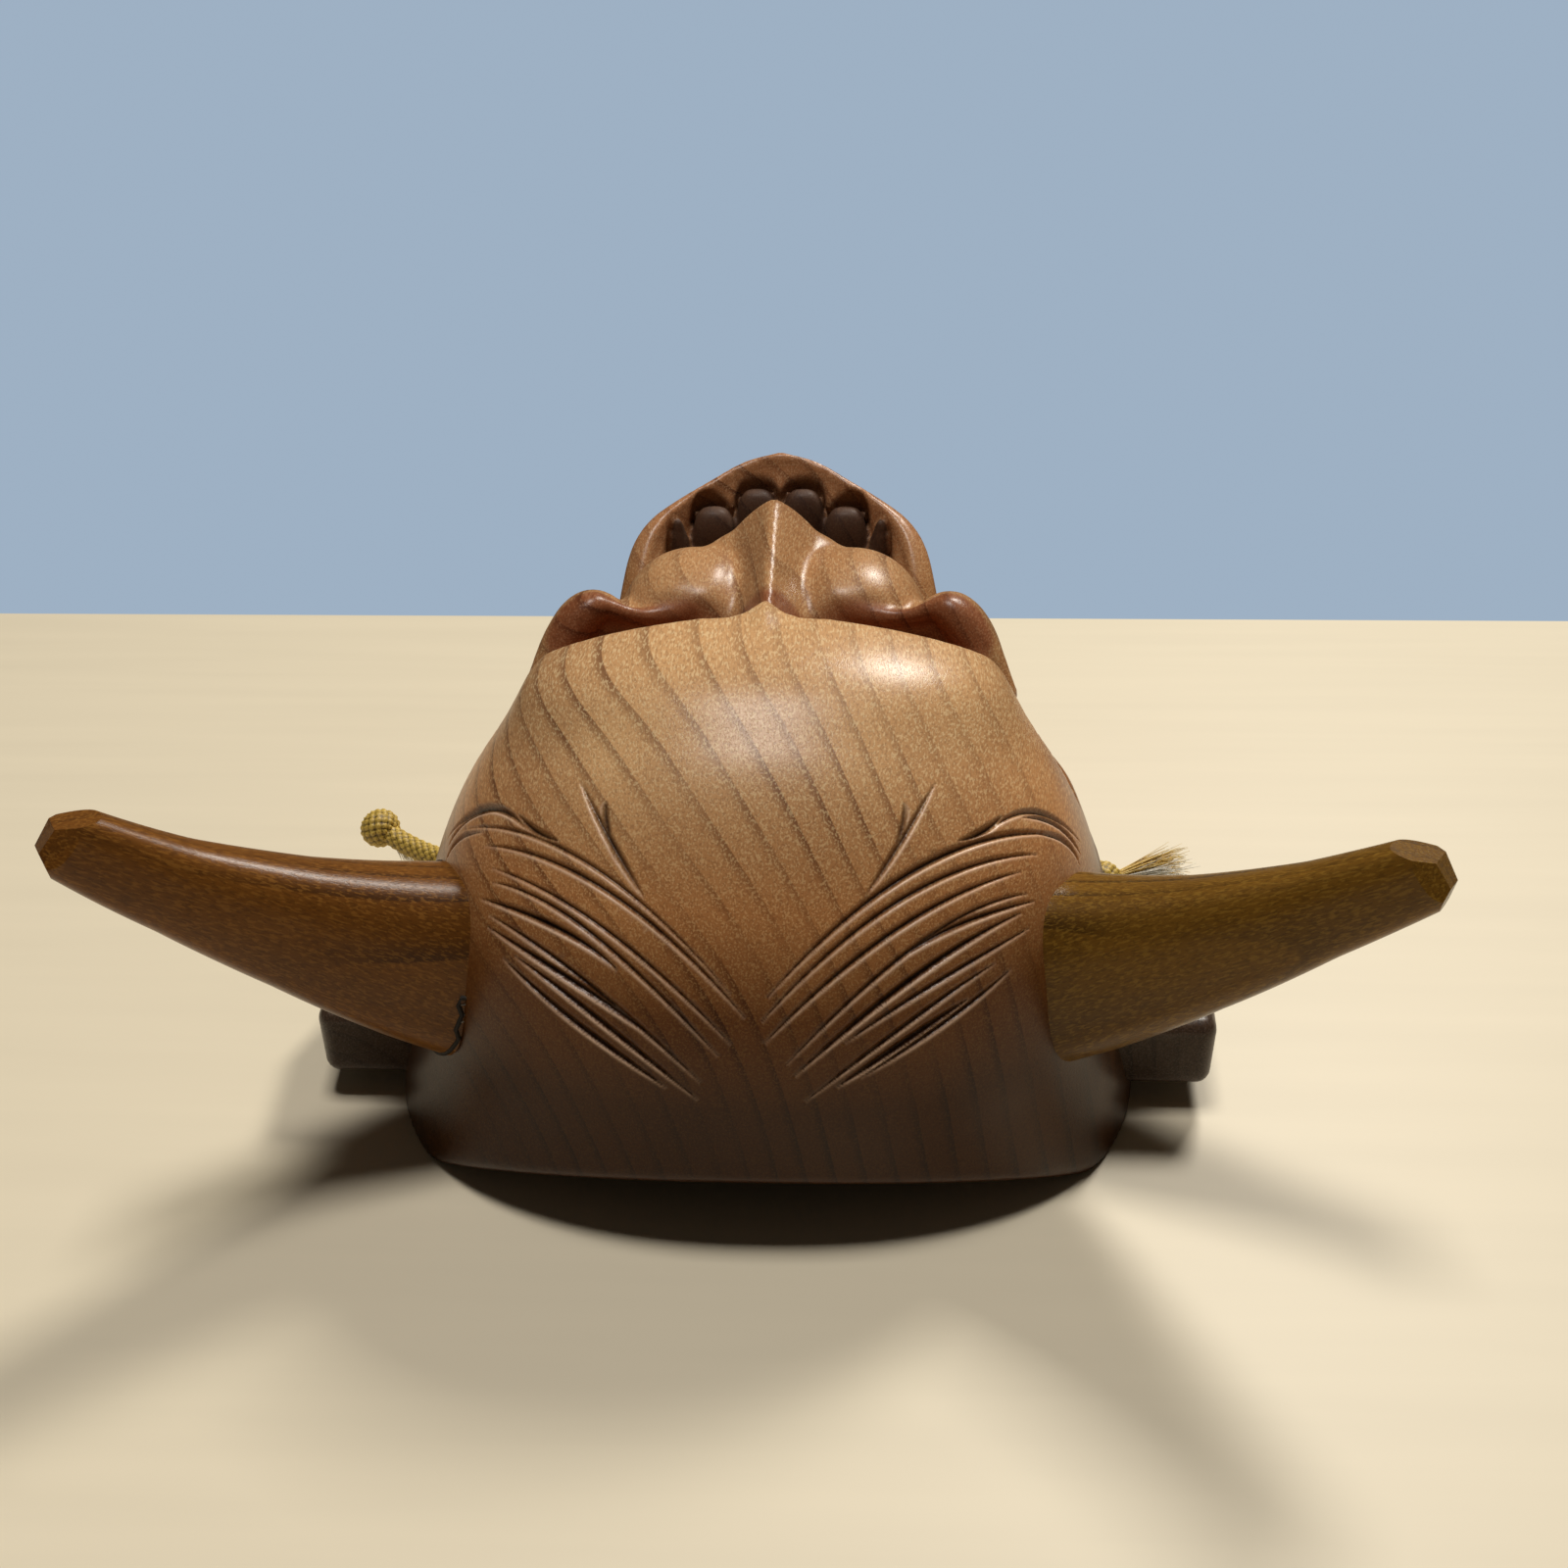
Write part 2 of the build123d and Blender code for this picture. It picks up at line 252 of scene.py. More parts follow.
def nose(q):
    """A roof with a rounded ridge that climbs to the tip, and a wing on each side."""
    x, y, z = q[..., 0], q[..., 1], q[..., 2]
    ridge = 96 + (y + 30) * 0.263
    fall = np.clip(1.0 + 0.02 * (24 - y), 1.0, 1.9)
    flank = (fall * (np.sqrt(x * x + 2.0) - 1.4) + z - ridge) / np.sqrt(1 + fall * fall)
    roof = -join(-flank, -ellipsoid(q, *NOSE_BLOCK), 3)
    return join(roof, ellipsoid(q, *NOSE_WING), 3)


def eye(q):
    """The ball and its upper lid."""
    return join(ellipsoid(q, *EYEBALL), chain(q, UPPER_LID), 2)


def lower_lip(q):
    """A broad pointed arch on a wall."""
    lip = chain(q, LOWER_LIP)
    wall = chain(q, [(x * 1.02, y + 1.5, z - 9, r + 1.5) for x, y, z, r in LOWER_LIP])
    return join(lip, wall, 6)


def lip_bevel(q):
    """Takes a broad hollow face out of the lip's inner side."""
    line = [(x * 0.66, y - 13 + 0.12 * x, z + 7.6 - 0.05 * x, 12.4) for x, y, z, _r in LOWER_LIP[:-1]]
    return chain(q, line)


def tooth_pockets(q):
    """The scalloped hollow that each lower tooth sits in."""
    return nearest_of([ellipsoid(q, *pocket) for pocket in TOOTH_POCKETS])


def teeth(q):
    """Two rows of blunt teeth with a fang at each end."""
    blunt = nearest_of([ellipsoid(q, *tooth) for tooth in BLUNT_TEETH])
    return np.minimum(blunt, np.minimum(chain(q, LOW_FANG), chain(q, HIGH_FANG)))


def chin(q):
    return join(ellipsoid(q, *CHIN_POINT), ellipsoid(q, *CHIN_BASE), 10)


def hollow(q):
    """The carved-out back, with shallow gouge marks."""
    shrunk = [r - WALL for r in FOREHEAD_RADII]
    inner = ellipsoid(q, FOREHEAD_CENTRE, shrunk, FOREHEAD_SQUARENESS)
    roof_drop = np.maximum(-(past_brow(q) + WALL), BROW_CUT_BOTTOM - WALL - q[..., 2])
    inner = cut(inner, roof_drop, 4)
    inner = join(inner, ellipsoid(q, *HOLLOW_FACE), 12)
    inner = join(inner, ellipsoid(q, *HOLLOW_JAW), 12)
    rows = np.abs(np.sin(q[..., 1] / 3.4 + 1.3 * np.sin(q[..., 0] / 15)))
    columns = np.abs(np.sin(q[..., 0] / 6.0 + 0.8 * np.sin(q[..., 1] / 11)))
    return inner + 0.7 * (1 - rows * columns)


def shell_outside(q):
    solid = join(face_mass(q), forehead(q), 7)
    solid = join(solid, temple_locks(q), 5)
    solid = join(solid, ellipsoid(q, *CHEEK), 4)
    solid = join(solid, chain(q, SMILE_FOLD), 4)
    solid = join(solid, chin(q), 10)
    solid = join(solid, lower_lip(q), 2.5)
    solid = join(solid, chain(q, UPPER_LIP), 4)
    solid = cut(solid, ellipsoid(q, *EYE_SOCKET), 3)
    solid = join(solid, nose(q), 3)
    solid = join(solid, chain(q, LOWER_LID), 3)
    solid = join(solid, eye(q), 1.5)
    return cut(cut(solid, lip_bevel(q), 0.8), tooth_pockets(q), 0.6)


def pin_holes(q):
    """Pupils and cord holes go through the wall; the nostrils are blind."""
    pupil = length(q[..., :2] - np.array(PUPIL, np.float32)) - PUPIL_RADIUS
    pupil = np.maximum(pupil, 50 - q[..., 2])
    cord_hole = length(q[..., 1:] - np.array((CORD_HOLE_Y, CORD_HOLE_Z), np.float32)) - CORD_HOLE_RADIUS
    cord_hole = np.maximum(cord_hole, 50 - q[..., 0])
    return nearest_of([pupil, chain(q, NOSTRIL, per_span=1), cord_hole])


def crown_bevel(q):
    """Distance past the plane that cuts the crown rim up off the table."""
    steep = math.hypot(CROWN_RIM_RISE, CROWN_RIM_RUN)
    return -((q[..., 1] - CROWN_RIM_Y) * CROWN_RIM_RISE + q[..., 2] * CROWN_RIM_RUN) / steep


def shell(p):
    q = folded(p)
    solid = shell_outside(q)
    solid = cut(solid, ellipsoid(q, *MOUTH), 1.5)
    solid = cut(solid, hollow(q), 3)
    solid = np.minimum(solid, np.maximum(teeth(q), -ellipsoid(q, *TONGUE_SPACE)))
    solid = cut(solid, pin_holes(q), 0.8)
    solid = cut(solid, -crown_bevel(q), 2)
    return cut(solid, q[..., 2], 1)


def slope(field, p, step=0.15):
    """Direction in which a distance field grows fastest."""
    parts = []
    for axis in range(3):
        d = np.zeros(3, np.float32)
        d[axis] = step
        parts.append(field(p + d) - field(p - d))
    return np.stack(parts, -1) / (2 * step)


def settle(field, p, rounds=2, limit=1.0):
    """Move points onto the surface of a distance field."""
    for _ in range(rounds):
        g = slope(field, p)
        move = field(p)[..., None] * g / np.maximum((g * g).sum(-1), 0.2)[..., None]
        p = p - np.clip(move, -limit, limit)
    return p


def mirrored_grid(field, low, high, voxel):
    """Sample a field that is symmetric in x on a regular grid; only the right half is worked out."""
    counts = [int(math.ceil((high[i] - low[i]) / voxel)) + 1 for i in range(3)]
    half = counts[0] // 2
    ys = low[1] + voxel * np.arange(counts[1])
    zs = low[2] + voxel * np.arange(counts[2])
    grid_y, grid_z = np.meshgrid(ys, zs, indexing="ij")
    values = np.empty((2 * half + 1, counts[1], counts[2]), np.float32)
    for i in range(half + 1):
        p = np.stack([np.full_like(grid_y, i * voxel), grid_y, grid_z], -1).astype(np.float32)
        values[half + i] = values[half - i] = field(p)
    return values, np.array((-half * voxel, low[1], low[2]))


def surface_points(field, low, high, voxel):
    values, corner = mirrored_grid(field, low, high, voxel)
    grid = openvdb.FloatGrid(background=3 * voxel)
    grid.copyFromArray(np.clip(values, -3 * voxel, 3 * voxel))
    points, quads = grid.convertToQuads(0.0)
    return settle(field, (corner + points * voxel).astype(np.float32)), quads


def part_kept(points, faces, keep):
    """The points to keep and the faces between them, numbered anew."""
    number = np.cumsum(keep) - 1
    return points[keep], number[faces[keep[faces].all(1)]]


def largest_part(points, faces):
    """Leave out loose specks: each point takes the lowest number that its faces lead to."""
    part = np.arange(len(points))
    while True:
        lower = part.copy()
        np.minimum.at(lower, faces.ravel(), np.repeat(part[faces].min(1), faces.shape[1]))
        lower = lower[lower]
        if (lower == part).all():
            return part_kept(points, faces, part == np.bincount(part).argmax())
        part = lower


# ---- meshes --------------------------------------------------------------------------------------
def new_piece(name, points, faces, material, body):
    """A smooth-shaded piece from points in millimetres, riding on a body."""
    mesh = bpy.data.meshes.new(name)
    mesh.from_pydata((np.asarray(points, float) * MM).tolist(), [], [list(map(int, f)) for f in faces])
    mesh.update()
    mesh.polygons.foreach_set("use_smooth", [True] * len(mesh.polygons))
    mesh.materials.append(material)
    piece = bpy.data.objects.new(name, mesh)
    bpy.context.scene.collection.objects.link(piece)
    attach(piece, body)
    return piece


def mesh_points(mesh):
    flat = np.empty(len(mesh.vertices) * 3, np.float32)
    mesh.vertices.foreach_get("co", flat)
    return flat.reshape(-1, 3) / MM


def set_points(mesh, points):
    mesh.vertices.foreach_set("co", (points * MM).astype(np.float32).ravel())
    mesh.update()


def set_attribute(mesh, name, values):
    layer = mesh.attributes.new(name, "FLOAT", "POINT")
    layer.data.foreach_set("value", np.asarray(values, np.float32))


def keep_modified(piece):
    """Make the result of the piece's modifiers its mesh."""
    graph = bpy.context.evaluated_depsgraph_get()
    mesh = bpy.data.meshes.new_from_object(piece.evaluated_get(graph))
    piece.modifiers.clear()
    piece.data = mesh


# ---- hair grooves --------------------------------------------------------------------------------
# Each stroke of the right side: start, middle and end near the dome, from the temple to the middle.
HAIR_STROKES = (
    ((62, -60, 66), (32, -83, 73), (2, -99, 53)),
    ((56, -70, 68), (28, -88, 69), (1, -101, 49)),
    ((52, -75, 67), (27, -91, 64), (2, -102, 45)),
    ((52, -77, 64), (30, -91, 62), (5, -103, 42)),
    ((55, -77, 61), (38, -88, 62), (25, -95, 57)),
    ((52, -80, 60), (31, -94, 55), (8, -103, 38)),
    ((53, -81, 58), (34, -93, 54), (16, -101, 45)),
    ((47, -88, 55), (30, -97, 48), (10, -104, 34)),
    ((49, -86, 53), (36, -95, 47), (20, -102, 39)),
    ((40, -92, 50), (29, -98, 45), (15, -103, 37)),
    ((20, -89, 69), (27, -83, 77), (34, -71, 84)),
    ((24, -84, 73), (27, -79, 79), (27, -76, 82)),
    ((47, -70, 76), (43, -75, 75), (37, -79, 75)),
    ((68, -54, 62), (55, -63, 74), (43, -75, 75)),
    ((66, -57, 61), (61, -60, 70), (51, -67, 75)),
    ((66, -60, 59), (62, -61, 65), (55, -68, 71)),
)
STROKE_STEPS = 36
GROOVE_DEPTH = 1.15
GROOVE_UPPER_WIDTH = 1.25
GROOVE_LOWER_WIDTH = 0.65
GROOVE_REACH = 2.2          # no groove reaches farther from its line than this
REFINE_REACH = 2.4
REFINE_ROUNDS = 2
HOLLOW_KEPT = 0.35          # share of the faces kept inside the hollow


def stroke_line(start, middle, end):
    """Points along a stroke: an arc through three points, pressed onto the dome."""
    start, middle, end = (np.array(v, float) for v in (start, middle, end))
    control = 2 * middle - (start + end) / 2
    t = np.linspace(0, 1, STROKE_STEPS)[:, None]
    line = start * (1 - t) ** 2 + 2 * control * t * (1 - t) + end * t ** 2
    return settle(lambda p: forehead(folded(p)), line.astype(np.float32), rounds=4, limit=6.0)


def hair_lines():
    """Both sides, with the small differences of hand carving."""
    rng = random.Random(11)
    lines = []
    for side in (RIGHT, LEFT):
        for stroke in HAIR_STROKES:
            shift = Vector((rng.uniform(-1, 1), 0, rng.uniform(-1, 1)))
            moved = [(side * (x + shift.x), y, z + shift.z) for x, y, z in stroke]
            lines.append((stroke_line(*moved), rng.uniform(0.75, 1.1)))
    return lines


def inside_box(points, line, margin):
    """Numbers of the points inside the line's box, grown by a margin."""
    low, high = line.min(0) - margin, line.max(0) + margin
    return np.where(((points > low) & (points < high)).all(1))[0]


def stroke_profile(points, line):
    """How far each point lies along a stroke (0 to 1), and sideways from it, downhill positive."""
    gaps = length(points[:, None, :] - line[None, :, :])
    nearest = gaps.argmin(1)
    along = np.gradient(line, axis=0)
    along /= length(along)[:, None]
    outward = line - np.array(FOREHEAD_CENTRE)
    downhill = np.cross(along, outward)
    downhill /= length(downhill)[:, None]
    downhill *= np.where(downhill[:, 2] > 0, -1, 1)[:, None]
    offset = points - line[nearest]
    t = nearest / (len(line) - 1)
    past_end = np.abs((offset * along[nearest]).sum(-1)) > 1.5
    return t, np.where(past_end, 9.0, (offset * downhill[nearest]).sum(-1)), gaps.min(1)


def refine_near(piece, lines):
    """Split the faces near the strokes into smaller ones."""
    for _ in range(REFINE_ROUNDS):
        points = mesh_points(piece.data)
        near = np.zeros(len(points), bool)
        for line, _strength in lines:
            inside = inside_box(points, line, REFINE_REACH)
            gaps = length(points[inside][:, None, :] - line[None, :, :]).min(1)
            near[inside[gaps < REFINE_REACH]] = True
        shape = bmesh.new()
        shape.from_mesh(piece.data)
        shape.verts.ensure_lookup_table()
        edges = [e for e in shape.edges if near[e.verts[0].index] and near[e.verts[1].index]]
        bmesh.ops.subdivide_edges(shape, edges=edges, cuts=1, use_grid_fill=True)
        shape.to_mesh(piece.data)
        shape.free()


def carve_grooves(piece, lines):
    """Press the strokes in: a wide upper wall and a steep lower wall, pointed at both ends."""
    points = mesh_points(piece.data)
    depth = np.zeros(len(points))
    lit = np.zeros(len(points))
    for line, strength in lines:
        inside = inside_box(points, line, 3)
        t, sideways, gap = stroke_profile(points[inside], line)
        swell = np.clip(np.sin(math.pi * t) ** 0.6, 0, 1) * strength
        upper = 1 + sideways / np.maximum(GROOVE_UPPER_WIDTH * swell, 0.05)
        lower = 1 - sideways / np.maximum(GROOVE_LOWER_WIDTH * swell, 0.05)
        wedge = np.clip(np.minimum(upper, lower), 0, 1) * (gap < GROOVE_REACH)
        depth[inside] = np.maximum(depth[inside], wedge * GROOVE_DEPTH * swell)
        # A painted highlight band along the groove's lower, lit edge.
        edge = np.exp(-(((sideways - GROOVE_LOWER_WIDTH * swell) / 0.35) ** 2)) * swell
        lit[inside] = np.maximum(lit[inside], edge * (gap < GROOVE_REACH))
    outward = slope(shell, points)
    outward /= np.maximum(length(outward), 1e-3)[:, None]
    set_points(piece.data, points - outward * depth[:, None])
    # Painted shade at the groove bottoms and a painted highlight on their lower edges, for the material.
    set_attribute(piece.data, "groove", depth / GROOVE_DEPTH)
    set_attribute(piece.data, "groove_highlight", lit * (1 - np.clip(depth * 3, 0, 1)))


def thin_hollow(piece):
    """Fewer, larger faces inside the hollow, which is seen only from behind."""
    points = mesh_points(piece.data)
    inside = np.abs(hollow(folded(points))) < 1.2
    group = piece.vertex_groups.new(name="hollow")
    group.add([int(i) for i in np.where(inside)[0]], 1.0, "REPLACE")
    thin = piece.modifiers.new("thin", "DECIMATE")
    thin.ratio = 1 - (1 - HOLLOW_KEPT) * inside.mean()
    thin.vertex_group = "hollow"
    keep_modified(piece)


def mark_recesses(piece):
    """Attributes for painted shade: dark mouth, throat and hollow, and eye sockets darkened and tinted
    reddish.
    """
    q = folded(mesh_points(piece.data))
    mouth = np.clip(0.5 - tooth_pockets(q), 0, 1)
    throat = np.clip(-ellipsoid(q, *THROAT) / 3, 0, 1)
    inside = np.clip(1 - np.abs(hollow(q)) / 2, 0, 1)
    socket = np.clip(0.8 - ellipsoid(q, *EYE_SOCKET) / 2, 0, 1) * (q[..., 1] > BROW_Y - 1)
    # These mark where painted shade goes in the mouth, throat, hollow and eye sockets.
    set_attribute(piece.data, "recess_shade", np.maximum(np.maximum(mouth, throat), 0.6 * inside))
    set_attribute(piece.data, "socket", socket)


def carved_mask(material):
    points, quads = largest_part(*surface_points(shell, (-90, -112, -3), (90, 112, 116), SHELL_VOXEL))
    piece = new_piece("carved_mask", points, quads, material, "mask")
    thin_hollow(piece)
    lines = hair_lines()
    refine_near(piece, lines)
    carve_grooves(piece, lines)
    mark_recesses(piece)
    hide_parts("mask_shell")


# ---- horns ---------------------------------------------------------------------------------------
HORN_LINES = {                # root, bend and tip; the hand-carved left horn sits a little higher
    "left": (Vector((53, -64, 36)), Vector((92, -83, 55.5)), Vector((121.5, -100, 88))),
    "right": (Vector((49, -64, 36)), Vector((88, -83, 53.5)), Vector((118, -100, 84))),
}
HORN_UP = Vector((-0.40, 0.40, 0.83)).normalized()
HORN_HALF_HEIGHTS = (21.5, 17.2, 12.5, 8.7, 6.2)
HORN_DEPTH_RATIO = 0.82
HORN_CORNER = 2.9           # exponent of the section's rounded rectangle
HORN_RINGS = 70
HORN_ROUND = 72
SEAM_RADIUS = 0.5
BEAD_ROUND = 6


def curve_point(t, a, b, c):
    return a * (1 - t) ** 2 + b * 2 * t * (1 - t) + c * t ** 2


def curve_direction(t, a, b, c):
    return ((b - a) * (1 - t) + (c - b) * t).normalized()


def rounded_section(angle, squareness):
    """A point on a unit rounded rectangle."""
    c, s = math.cos(angle), math.sin(angle)
    reach = (abs(c) ** squareness + abs(s) ** squareness) ** (-1 / squareness)
    return c * reach, s * reach


def horn_rings(line, side, seed):
    rng = random.Random(seed)
    waves = [(rng.uniform(1, 2), rng.uniform(0, 6.28), rng.uniform(0.08, 0.16)) for _ in range(2)]
    points = []
    for i in range(HORN_RINGS + 1):
        t = i / HORN_RINGS
        centre = curve_point(t, *line)
        along = curve_direction(t, *line)
        across = HORN_UP.cross(along).normalized()
        up = along.cross(across)
        height = float(np.interp(t, (0, 0.25, 0.5, 0.75, 1), HORN_HALF_HEIGHTS))
        for k in range(HORN_ROUND):
            angle = 2 * math.pi * k / HORN_ROUND
            a, b = rounded_section(angle, HORN_CORNER)
            wave = sum(d * math.sin(f * 6 * t + p + angle) for f, p, d in waves)
            point = centre + across * a * (height * HORN_DEPTH_RATIO + wave) + up * b * (height + wave)
            points.append((side * point.x, point.y, point.z))
    return points


def tube_faces(rings, around, side=RIGHT):
    """Faces of a tube with closed ends; a mirrored tube has them turned round."""
    faces = []
    for i in range(rings - 1):
        for k in range(around):
            a, b = i * around + k, i * around + (k + 1) % around
            face = (a, b, b + around, a + around)
            faces.append(face if side == RIGHT else face[::-1])
    first = tuple(range(around))
    last = tuple((rings - 1) * around + k for k in range(around))
    faces.append(first[::-1] if side == RIGHT else first)
    faces.append(last if side == RIGHT else last[::-1])
    return faces


def cut_facets(piece, line, side):
    """Knife cuts at the blunt tip."""
    along = curve_direction(1, *line)
    across = HORN_UP.cross(along).normalized()
    up = along.cross(across)
    facets = (
        (up * 1.1, 1.2),
        (across * 1.3 - up * 0.5, 2.4),
        (across * -1.3, 2.2),
        (up * -1.3, 2.6),
    )
    shape = bmesh.new()
    shape.from_mesh(piece.data)
    for lean, inset in facets:
        normal = (along + lean).normalized()
        place = line[2] + normal * inset
        flip = Vector((side, 1, 1))
        everything = shape.verts[:] + shape.edges[:] + shape.faces[:]
        made = bmesh.ops.bisect_plane(
            shape, geom=everything, plane_co=place * flip * MM, plane_no=normal * flip, clear_outer=True
        )
        rim = [e for e in made["geom_cut"] if isinstance(e, bmesh.types.BMEdge)]
        bmesh.ops.edgeloop_fill(shape, edges=rim)
    shape.to_mesh(piece.data)
    shape.free()
    piece.data.polygons.foreach_set("use_smooth", [True] * len(piece.data.polygons))
    piece.data.set_sharp_from_angle(angle=math.radians(22))


def horn(name, side, material):
    line = HORN_LINES[name]
    points = horn_rings(line, side, seed=3 + side)
    faces = tube_faces(HORN_RINGS + 1, HORN_ROUND, side)
    piece = new_piece(f"carved_horn_{name}", points, faces, material, "mask")
    cut_facets(piece, line, side)
    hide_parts(f"horn_{name}")


def joint_line(line, side):
    """Where the horn's surface meets the dome, all the way round."""
    points = []
    rings = np.array(horn_rings(line, side, seed=3 + side), np.float32)
    rings = rings.reshape(HORN_RINGS + 1, HORN_ROUND, 3)
    for k in range(HORN_ROUND):
        outside = shell(rings[:, k]) > 0
        first = int(outside.argmax())
        points.append(Vector(rings[first, k].tolist()))
    return points


def bead(name, points, radii, material):
    """A thin uneven bead pressed into the joint."""
    surface = []
    for centre, frame_here, radius in zip(points, frame_along(points), radii):
        surface += round_ring(centre, frame_here, [radius] * BEAD_ROUND)
    new_piece(name, surface, tube_faces(len(points), BEAD_ROUND), material, "mask")


def horn_joint(name, side, dark, pale):
    """A dark seam round each horn; dried glue shows on the left one."""
    rng = random.Random(5)
    seam = joint_line(HORN_LINES[name], side)
    bead(f"horn_seam_{name}", seam + seam[:1], [SEAM_RADIUS] * (len(seam) + 1), dark)
    if side == LEFT:
        front = sorted((p for p in seam if p.y < -74 and 22 < p.z < 62), key=lambda p: -p.z)
        radii = [0.15 + 0.3 * rng.random() for _ in front]
        bead("dried_glue_left", front, radii, pale)


# ---- ears ----------------------------------------------------------------------------------------
EAR_SECTIONS = (               # y, outer x, underside and top of the leaf
    (-64.5, 97, 6, 22.5),
    (-36, 101, 6, 22.5),
    (-14, 95, 7, 21.5),
    (3, 84, 9, 19),
)
EAR_CORNER = 3.0
EAR_ROOT_X = 70
EAR_BOWL = ((88, -34, 26), (7.5, 21, 9))
EAR_CHANNEL = ((86, -14, 24, 2.2), (92, -40, 25, 1.6), (90, -54, 25, 1.2))


def ear_field(p):
    """A thick leaf with a square near end, a rim and a scooped bowl."""
    q = folded(p)
    y = q[..., 1]
    ys, outers, lows, highs = zip(*EAR_SECTIONS)
    outer, low, high = (np.interp(y, ys, values) for values in (outers, lows, highs))
    block = np.stack([
        q[..., 0] - (outer - EAR_CORNER),
        np.maximum(low + EAR_CORNER - q[..., 2], q[..., 2] - (high - EAR_CORNER)),
        np.maximum(ys[0] + EAR_CORNER - y, y - (ys[-1] - EAR_CORNER)),
    ], -1)
    leaf = length(np.maximum(block, 0)) + np.minimum(block.max(-1), 0) - EAR_CORNER
    leaf = np.maximum(leaf, EAR_ROOT_X - q[..., 0])
    return cut(cut(leaf, ellipsoid(q, *EAR_BOWL), 2), chain(q, EAR_CHANNEL), 1)


def ear(name, side, material):
    points, quads = surface_points(ear_field, (-104, -68, 3), (104, 6, 26), EAR_VOXEL)
    points, quads = part_kept(points, quads, points[:, 0] * side > 0)
    piece = new_piece(f"carved_ear_{name}", points, quads, material, "mask")
    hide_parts(f"ear_{name}")


# ---- cord ----------------------------------------------------------------------------------------
BRAID_STRANDS = 8           # strands each way round
BRAID_PITCH = 20.0          # length of one full turn of a strand
BRAID_BUMP = 0.6
KNOT_RADIUS = 5.6
KNOT_RINGS, KNOT_ROUND = 40, 64
KNOT_FLATNESS = 0.94
CORD_SAG = 5.0
LOOP_DROP = Vector((0, -26, -6))   # from the cord holes to the middle of the loop
STRAND_RADIUS = 0.2
STRAND_RINGS, STRAND_ROUND = 9, 4
COTTON_CORES = {              # direction and length of the loosened core past the knot
    "left": (Vector((0.80, -0.45, -0.42)).normalized(), 14),
    "right": (Vector((0.97, 0.24, 0.02)).normalized(), 24),
}
GOLD_TUFTS = {                # direction and length of the frayed strands past the knot
    "left": (Vector((0.80, -0.40, -0.14)).normalized(), 20),
    "right": (Vector((0.91, 0.36, 0.20)).normalized(), 26),
}
STRANDS_START = 3.5           # from the middle of the knot


def frame_along(points):
    """Steady across and up directions along a line of points."""
    tangents = [(points[min(i + 1, len(points) - 1)] - points[max(i - 1, 0)]).normalized()
                for i in range(len(points))]
    up = Vector((0, 0, 1)) if abs(tangents[0].z) < 0.8 else Vector((1, 0, 0))
    frames = []
    for tangent in tangents:
        across = up.cross(tangent).normalized()
        up = tangent.cross(across).normalized()
        frames.append((across, up))
    return frames


def round_ring(centre, frame_here, reaches):
    """Points round a centre, one for each reach."""
    across, up = frame_here
    ring = []
    for k, reach in enumerate(reaches):
        angle = 2 * math.pi * k / len(reaches)
        ring.append(centre + (across * math.cos(angle) + up * math.sin(angle)) * reach)
    return ring


def braid_height(turn, along):
    """Diamond bumps of two sets of crossing strands, 0 to 1."""
    a = abs(math.sin(0.5 * BRAID_STRANDS * (turn + along)))
    b = abs(math.sin(0.5 * BRAID_STRANDS * (turn - along)))
    return math.sqrt(a * b)


def braided_tube(line, around, step):
    """Points, faces and weave height of a braided cord along a line."""
    spaced = [line[0]]
    for a, b in zip(line, line[1:]):
        count = max(1, int((b - a).length / step))
        spaced += [a.lerp(b, k / count) for k in range(1, count + 1)]
    points, weave = [], []
    travelled = 0.0
    for i, (centre, frame_here) in enumerate(zip(spaced, frame_along(spaced))):
        travelled += (centre - spaced[i - 1]).length if i else 0.0
        turned = 2 * math.pi * travelled / BRAID_PITCH
        heights = [braid_height(2 * math.pi * k / around, turned) for k in range(around)]
        points += round_ring(centre, frame_here, [CORD_RADIUS + BRAID_BUMP * (h - 1) for h in heights])
        weave += heights
    return points, tube_faces(len(spaced), around), weave


def bent_line(start, control, end, count):
    return [curve_point(i / count, start, control, end) for i in range(count + 1)]


def braided_ball(centre, radius, axis):
    """The stopper knot: a ball wrapped in the same braid, slightly flattened along the cord."""
    across = axis.orthogonal().normalized()
    up = axis.cross(across)
    points, weave = [], []
    for i in range(KNOT_RINGS + 1):
        polar = math.pi * (i + 0.5) / (KNOT_RINGS + 1)
        for k in range(KNOT_ROUND):
            angle = 2 * math.pi * k / KNOT_ROUND
            height = braid_height(1.5 * angle, 1.5 * polar)
            reach = radius * (0.86 + 0.14 * height)
            flat = math.sin(polar) * reach
            points.append(centre + axis * math.cos(polar) * reach * -KNOT_FLATNESS
                          + (across * math.cos(angle) + up * math.sin(angle)) * flat)
            weave.append(height)
    return points, tube_faces(KNOT_RINGS + 1, KNOT_ROUND), weave


def woven_piece(name, shape, material, body, node):
    points, faces, weave = shape
    piece = new_piece(name, points, faces, material, body)
    set_attribute(piece.data, "weave", weave)
    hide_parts(node)


def cord_drop(name, side, material):
    """The cord from its hole to the knot, sagging a little."""
    centre = KNOT_CENTRES[name]
    start = Vector((side * CORD_OUTER_X, CORD_HOLE_Y, CORD_HOLE_Z))
    middle = start.lerp(centre, 0.5) - Vector((0, 0, CORD_SAG))
    line = bent_line(start, middle, centre, 24)[:-2]
    line.insert(0, start - Vector((side * 2.4, 0, 0)))
    shape = braided_tube(line, around=48, step=0.45)
    woven_piece(f"cord_end_{name}_braid", shape, material, f"cord_end_{name}", f"cord_drop_{name}")


def stopper_knot(name, material):
    core_direction, _core_length = COTTON_CORES[name]
    shape = braided_ball(KNOT_CENTRES[name], KNOT_RADIUS, core_direction)
    woven_piece(f"knot_{name}", shape, material, f"cord_end_{name}", f"stopper_knot_{name}")


